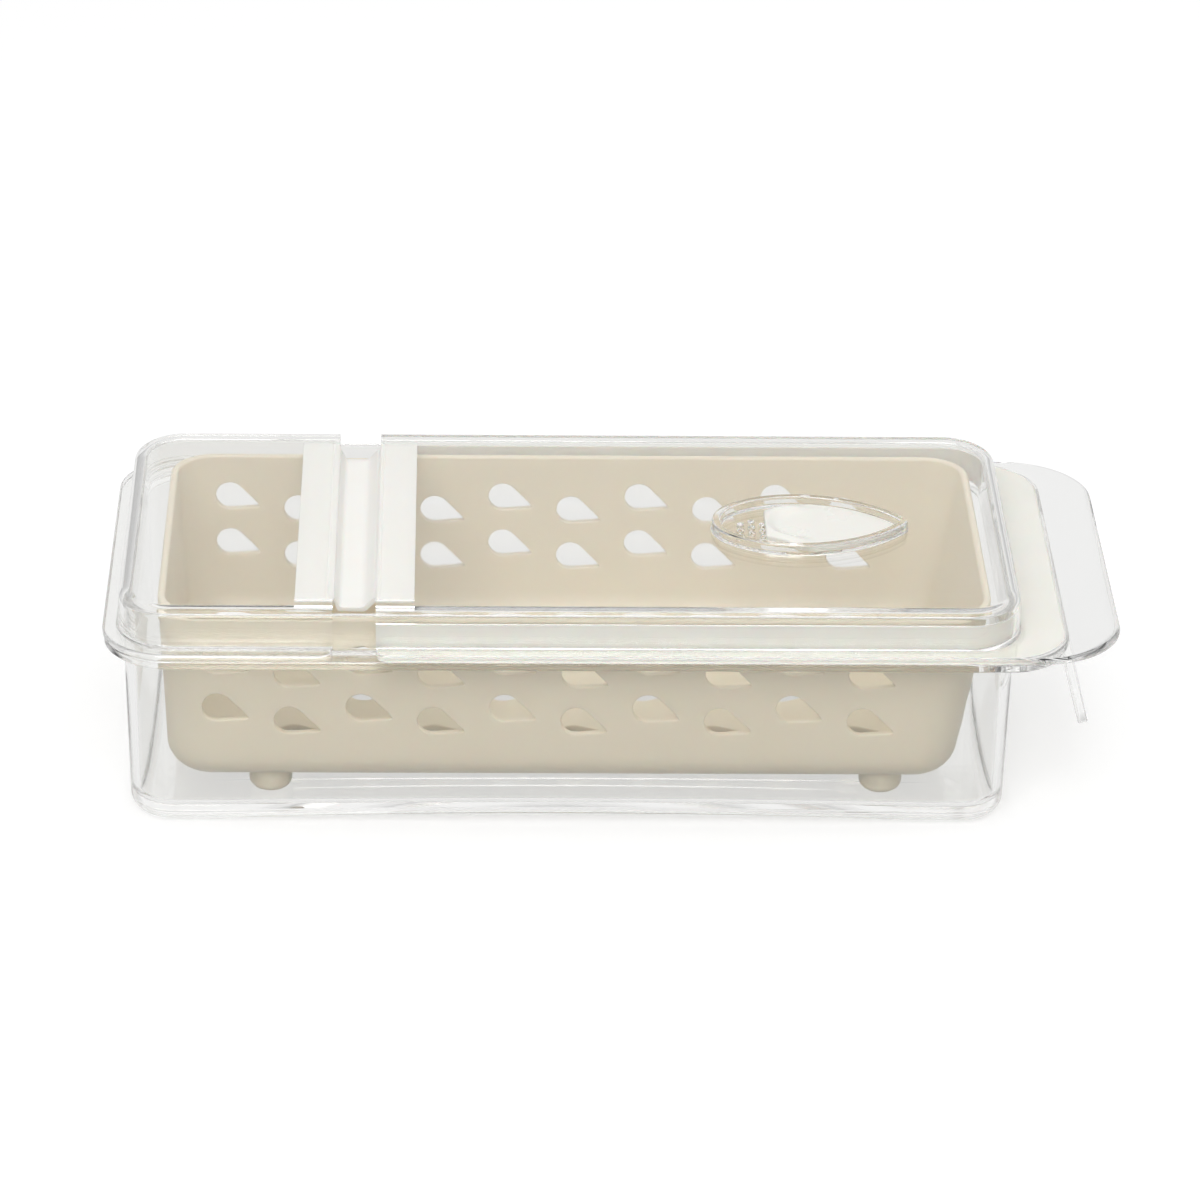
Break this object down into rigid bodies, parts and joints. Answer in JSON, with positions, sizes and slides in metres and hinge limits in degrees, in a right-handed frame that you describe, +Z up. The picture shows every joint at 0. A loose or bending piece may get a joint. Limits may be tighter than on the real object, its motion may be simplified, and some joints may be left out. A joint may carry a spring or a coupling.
{
  "type": "herb keeper",
  "caption": "Long clear lidded bin with a lift-out colander basket, a lid in two panels joined by a soft folding strip, and a sliding vent.",
  "frame": {"origin": "middle of the whole outline, on the surface that the bin stands on", "axes": "+X along the length towards the thumb tab, +Z up"},
  "size_m": [0.29, 0.1296, 0.0732],
  "materials": {
    "clear_bin": "clear, polished",
    "clear_lid": "clear, polished",
    "basket_white": "satin",
    "soft_white": "soft matt",
    "gasket_white": "soft matt",
    "slide_white": "satin"
  },
  "bodies": {
    "base": {"base_bin": "clear_bin"},
    "basket": {"colander_basket": "basket_white"},
    "lid": {"short_lid": "clear_lid", "hinge_strip": "soft_white"},
    "flap": {"flip_lid": "clear_lid", "lid_gasket": "gasket_white"},
    "slide": {"vent_slide": "slide_white"}
  },
  "joints": [
    {"name": "basket_lift", "type": "slide", "parent": "base", "child": "basket", "axis": [0, 0, 1], "range_m": [0, 0.07]},
    {"name": "lid_lift", "type": "slide", "parent": "basket", "child": "lid", "axis": [0, 0, 1], "range_m": [0, 0.04]},
    {"name": "flap_hinge", "type": "hinge", "parent": "lid", "child": "flap", "pos_m": [-0.0733, 0, 0.066], "axis": [0, -1, 0], "range_deg": [0, 100], "deforming": ["hinge_strip"]},
    {"name": "vent_travel", "type": "slide", "parent": "flap", "child": "slide", "axis": [-1, 0, 0], "range_m": [0, 0.009]}
  ]
}
